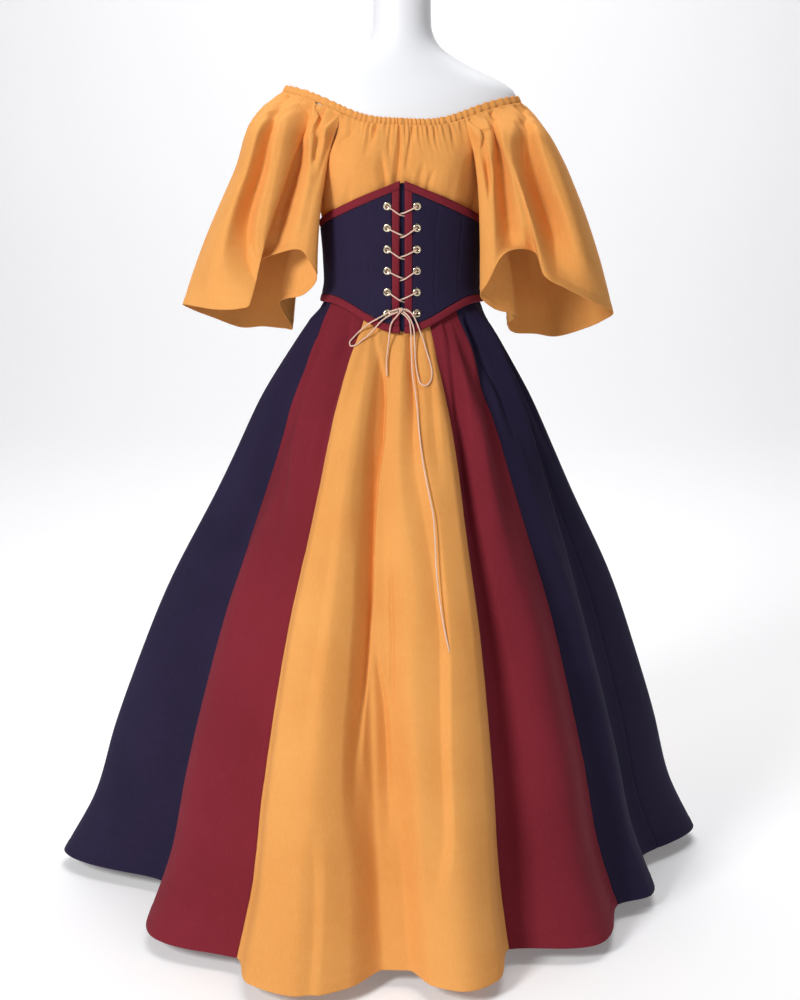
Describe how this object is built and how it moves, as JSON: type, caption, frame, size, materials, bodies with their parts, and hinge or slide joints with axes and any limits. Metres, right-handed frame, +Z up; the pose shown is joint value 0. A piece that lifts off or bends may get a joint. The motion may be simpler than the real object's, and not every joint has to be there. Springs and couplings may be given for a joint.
{
  "type": "off-shoulder corset dress on a dress form",
  "caption": "Long off-shoulder dress with flared half sleeves, a gored skirt in three colours and a front-laced waist corset, worn on a limbless dress form with a pole and round foot.",
  "frame": {"origin": "on the floor, in the middle of the underside of the stand's round foot", "axes": "+Z up along the stand's pole, -Y out of the front of the dress, +X to the right of someone who looks at the front"},
  "size_m": [1.1326, 1.1047, 1.492],
  "materials": {
    "mustard_cloth": "matte cotton twill, mustard orange",
    "burgundy_cloth": "matte cotton twill, burgundy",
    "navy_cloth": "matte cotton twill, dark navy",
    "form": "smooth, white, half matte",
    "stand": "brushed, satin",
    "eyelet_metal": "pale, polished",
    "lace_cord": "thin round cord, pale pink"
  },
  "bodies": {
    "root": {"form_torso": "form", "stand_foot": "stand", "stand_boss": "stand", "stand_pole": "stand", "neckline_casing": "mustard_cloth", "bodice_front": "mustard_cloth", "bodice_back": "mustard_cloth", "sleeve_left": "mustard_cloth", "sleeve_right": "mustard_cloth", "skirt_front": "mustard_cloth", "skirt_front_right": "burgundy_cloth", "skirt_side_right": "navy_cloth", "skirt_side_back_right": "navy_cloth", "skirt_back_right": "burgundy_cloth", "skirt_back": "mustard_cloth", "skirt_back_left": "burgundy_cloth", "skirt_side_back_left": "navy_cloth", "skirt_side_left": "navy_cloth", "skirt_front_left": "burgundy_cloth", "corset_front_right": "navy_cloth", "corset_front_left": "navy_cloth", "corset_back": "navy_cloth", "binding_front_right": "burgundy_cloth", "binding_front_left": "burgundy_cloth", "binding_top": "burgundy_cloth", "binding_bottom": "burgundy_cloth", "eyelet_left_1": "eyelet_metal", "eyelet_left_2": "eyelet_metal", "eyelet_left_3": "eyelet_metal", "eyelet_left_4": "eyelet_metal", "eyelet_left_5": "eyelet_metal", "eyelet_left_6": "eyelet_metal", "eyelet_right_1": "eyelet_metal", "eyelet_right_2": "eyelet_metal", "eyelet_right_3": "eyelet_metal", "eyelet_right_4": "eyelet_metal", "eyelet_right_5": "eyelet_metal", "eyelet_right_6": "eyelet_metal", "lace_left": "lace_cord", "lace_right": "lace_cord", "bow_knot": "lace_cord", "bow_loop_left": "lace_cord", "bow_loop_right": "lace_cord", "bow_end_short": "lace_cord", "bow_end_long": "lace_cord"}
  },
  "joints": []
}
